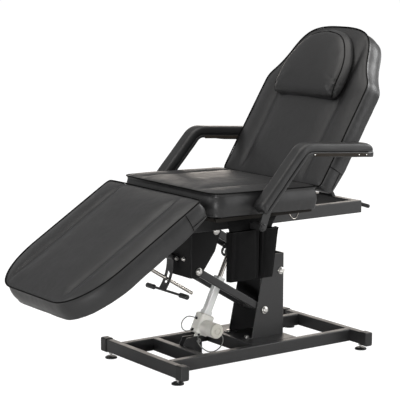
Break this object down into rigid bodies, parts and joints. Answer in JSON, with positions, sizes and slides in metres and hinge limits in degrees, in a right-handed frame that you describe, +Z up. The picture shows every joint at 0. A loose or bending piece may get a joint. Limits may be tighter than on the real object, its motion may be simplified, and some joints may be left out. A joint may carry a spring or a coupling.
{
  "type": "electric tattoo chair",
  "caption": "Black upholstered tattoo chair on a motor-driven parallelogram lift, with reclining back, jointed leg rest, padded fold-away arms, head pillow and side pouch.",
  "frame": {"origin": "on the floor, under the middle of the base frame", "axes": "+Z up, +Y towards the head end, -Y towards the leg rest, +X towards the side with the pouch (the left of a person seated)"},
  "size_m": [0.76, 1.5286, 1.3076],
  "materials": {
    "black_paint": "satin",
    "bright_steel": "satin",
    "chrome": "polished",
    "grey_alloy": "satin",
    "cream_plastic": "matte",
    "black_plastic": "matte",
    "black_leather": "semi-gloss grain",
    "dark_board": "painted dark",
    "bag_fabric": "woven",
    "stop_rubber": "matte",
    "grey_lead": "matte"
  },
  "bodies": {
    "base": {"base_end_tubes": "black_paint", "base_rails": "black_paint", "base_cross_tubes": "black_paint", "base_end_caps": "black_plastic", "levelling_feet": "black_plastic", "foot_studs": "bright_steel", "column_plate": "black_paint", "column": "black_paint", "column_bolts": "bright_steel", "actuator_bracket": "black_paint", "actuator_clevis_pin": "bright_steel"},
    "lower_arms": {"lower_arm_pair": "black_paint", "lower_arm_sleeves": "black_paint"},
    "upper_arms": {"upper_arm_pair": "black_paint", "upper_arm_sleeves": "black_paint", "actuator_lug": "black_paint"},
    "seat": {"seat_carrier": "black_paint", "carrier_bolts": "bright_steel", "seat_rails": "black_paint", "seat_cross_tubes": "black_paint", "seat_board": "dark_board", "seat_cushion": "black_leather", "seat_brackets": "black_paint", "back_hinge_pin": "bright_steel", "arm_posts": "black_paint", "bag_panel": "bag_fabric", "bag_pouches": "bag_fabric", "back_rest_stop": "stop_rubber", "hanger_loop": "chrome"},
    "actuator": {"actuator_gearbox": "grey_alloy", "actuator_motor": "grey_alloy", "motor_cap": "cream_plastic", "actuator_tube": "grey_alloy", "motor_loop_lead": "grey_lead", "motor_hanging_lead": "grey_lead", "lead_glands": "black_plastic"},
    "actuator_ram": {"actuator_rod": "chrome", "actuator_rod_head": "bright_steel"},
    "backrest": {"back_cushion": "black_leather", "back_board": "dark_board", "back_frame": "black_paint", "back_hinge_tube": "black_paint"},
    "pillow": {"head_pillow": "black_leather"},
    "spring_barrel": {"gas_spring_body": "black_paint"},
    "spring_ram": {"gas_spring_rod": "chrome"},
    "legrest": {"leg_cushion": "black_leather", "leg_board": "dark_board", "leg_frame": "black_paint", "leg_frame_lugs": "black_paint"},
    "leg_stay": {"leg_stay_rod": "chrome"},
    "leg_lever": {"leg_release_lever": "black_paint", "leg_release_grips": "black_plastic"},
    "back_lever": {"back_release_lever": "black_paint", "back_release_grip": "black_plastic"},
    "arm_left": {"arm_pad_left": "black_leather", "arm_frame_left": "black_paint"},
    "arm_right": {"arm_pad_right": "black_leather", "arm_frame_right": "black_paint"}
  },
  "joints": [
    {"name": "lift", "type": "hinge", "parent": "base", "child": "lower_arms", "pos_m": [0, 0.077, 0.185], "axis": [-1, 0, 0], "range_deg": [-17, 22]},
    {"name": "upper_arm_swing", "type": "hinge", "parent": "base", "child": "upper_arms", "pos_m": [0, 0.159, 0.337], "axis": [-1, 0, 0], "range_deg": [-17.1, 22.1]},
    {"name": "seat_level", "type": "hinge", "parent": "lower_arms", "child": "seat", "pos_m": [0, -0.24701, 0.37968], "axis": [-1, 0, 0], "range_deg": [-22.1, 17.1]},
    {"name": "actuator_tilt", "type": "hinge", "parent": "base", "child": "actuator", "pos_m": [0, -0.205, 0.087], "axis": [-1, 0, 0], "range_deg": [-0.2, 0.2]},
    {"name": "actuator_stroke", "type": "slide", "parent": "actuator", "child": "actuator_ram", "axis": [0, 0.4305, 0.9026], "range_m": [-0.0648, 0.0837]},
    {"name": "back_recline", "type": "hinge", "parent": "seat", "child": "backrest", "pos_m": [0, 0.20499, 0.65198], "axis": [-1, 0, 0], "range_deg": [0, 58]},
    {"name": "back_spring_tilt", "type": "hinge", "parent": "seat", "child": "spring_barrel", "pos_m": [0, -0.05001, 0.57698], "axis": [-1, 0, 0], "range_deg": [-0.1, 3.2]},
    {"name": "back_spring_stroke", "type": "slide", "parent": "spring_barrel", "child": "spring_ram", "axis": [0, 0.9953, 0.0971], "range_m": [-0.0592, 0.0005]},
    {"name": "pillow_slide", "type": "slide", "parent": "backrest", "child": "pillow", "axis": [0, 0.5255, 0.8508], "range_m": [-0.04, 0.02]},
    {"name": "leg_lift", "type": "hinge", "parent": "seat", "child": "legrest", "pos_m": [0, -0.36801, 0.61798], "axis": [-1, 0, 0], "range_deg": [-25, 32]},
    {"name": "leg_stay_swing", "type": "hinge", "parent": "legrest", "child": "leg_stay", "pos_m": [-0.04, -0.56404, 0.49102], "axis": [-1, 0, 0], "range_deg": [-20.8, 16.3]},
    {"name": "leg_release", "type": "hinge", "parent": "seat", "child": "leg_lever", "pos_m": [-0.04, -0.29901, 0.42498], "axis": [-1, 0, 0], "range_deg": [0, 8], "stiffness_Nm_per_rad": 6, "springref_deg": -2.86},
    {"name": "back_release", "type": "hinge", "parent": "seat", "child": "back_lever", "pos_m": [0.15, 0.48299, 0.59498], "axis": [-1, 0, 0], "range_deg": [-12, 0], "stiffness_Nm_per_rad": 1, "springref_deg": 17.19},
    {"name": "arm_fold_left", "type": "hinge", "parent": "seat", "child": "arm_left", "pos_m": [0.35, -0.15001, 0.58498], "axis": [-1, 0, 0], "range_deg": [0, 60]},
    {"name": "arm_fold_right", "type": "hinge", "parent": "seat", "child": "arm_right", "pos_m": [-0.35, -0.15001, 0.58498], "axis": [-1, 0, 0], "range_deg": [0, 60]}
  ],
  "couplings": [
    {"joint": "upper_arm_swing", "follows": "lift", "ratio": 1},
    {"joint": "seat_level", "follows": "lift", "ratio": -1},
    {"joint": "actuator_tilt", "follows": "lift", "ratio": -0.00177},
    {"joint": "actuator_stroke", "follows": "lift", "m_per_rad": 0.21676},
    {"joint": "back_spring_tilt", "follows": "back_recline", "ratio": 0.05179},
    {"joint": "back_spring_stroke", "follows": "back_recline", "m_per_rad": -0.057959},
    {"joint": "leg_stay_swing", "follows": "leg_lift", "ratio": -0.6425}
  ]
}
